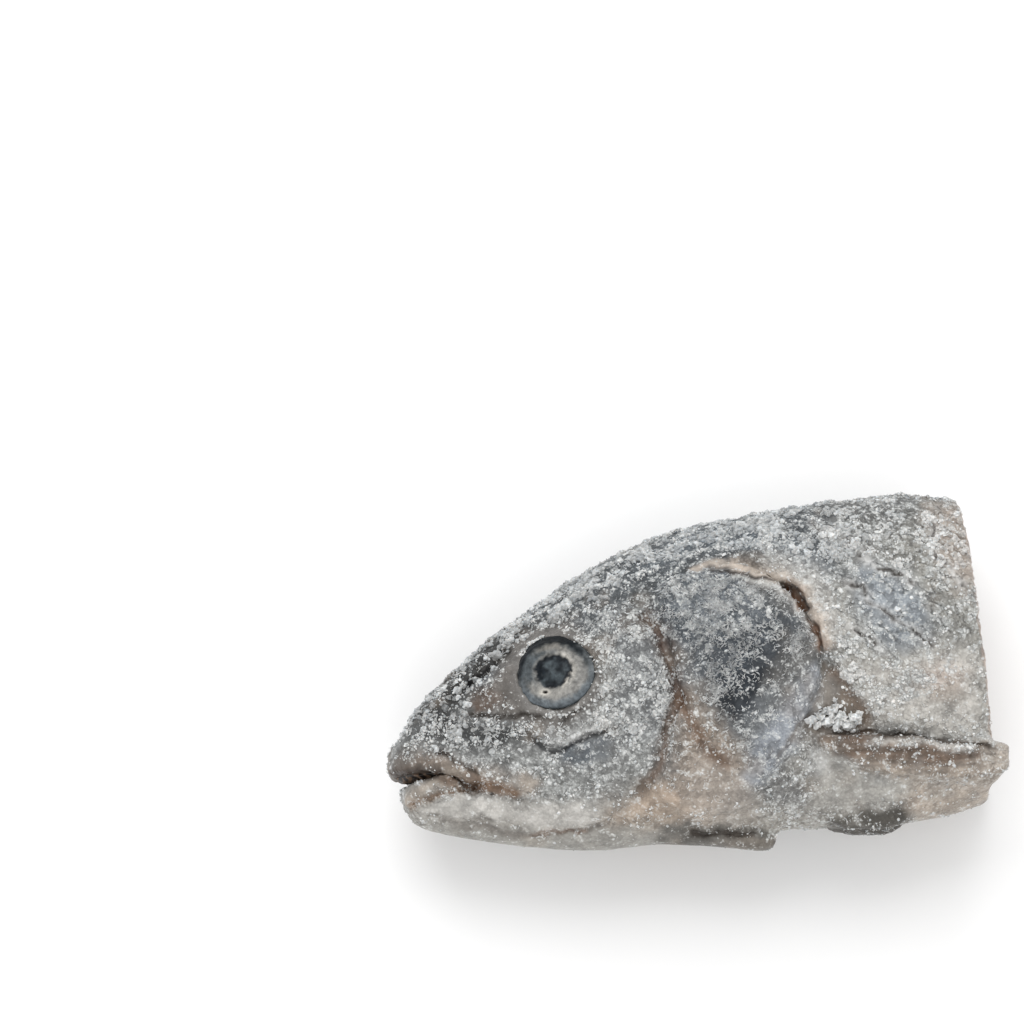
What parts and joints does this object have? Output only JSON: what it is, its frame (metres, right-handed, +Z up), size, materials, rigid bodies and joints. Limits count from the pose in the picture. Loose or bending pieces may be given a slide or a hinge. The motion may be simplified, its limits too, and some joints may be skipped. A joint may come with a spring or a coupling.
{
  "type": "frozen fish head",
  "caption": "Frost-crusted frozen fish head with its collar, cut off behind the breast fins, lying on one side with eye, mouth and gill cover in relief.",
  "frame": {"origin": "under the middle of the whole, on the surface that the right side lies on", "axes": "+X from the snout to the cut, +Y from the throat to the back, +Z up, out of the left side"},
  "size_m": [0.1364, 0.0814, 0.0451],
  "materials": {
    "skin": "frozen skin under a crust of frost",
    "eye": "frozen eye under thin ice"
  },
  "bodies": {
    "root": {"head": "skin", "eye_left": "eye", "eye_right": "eye"}
  },
  "joints": []
}
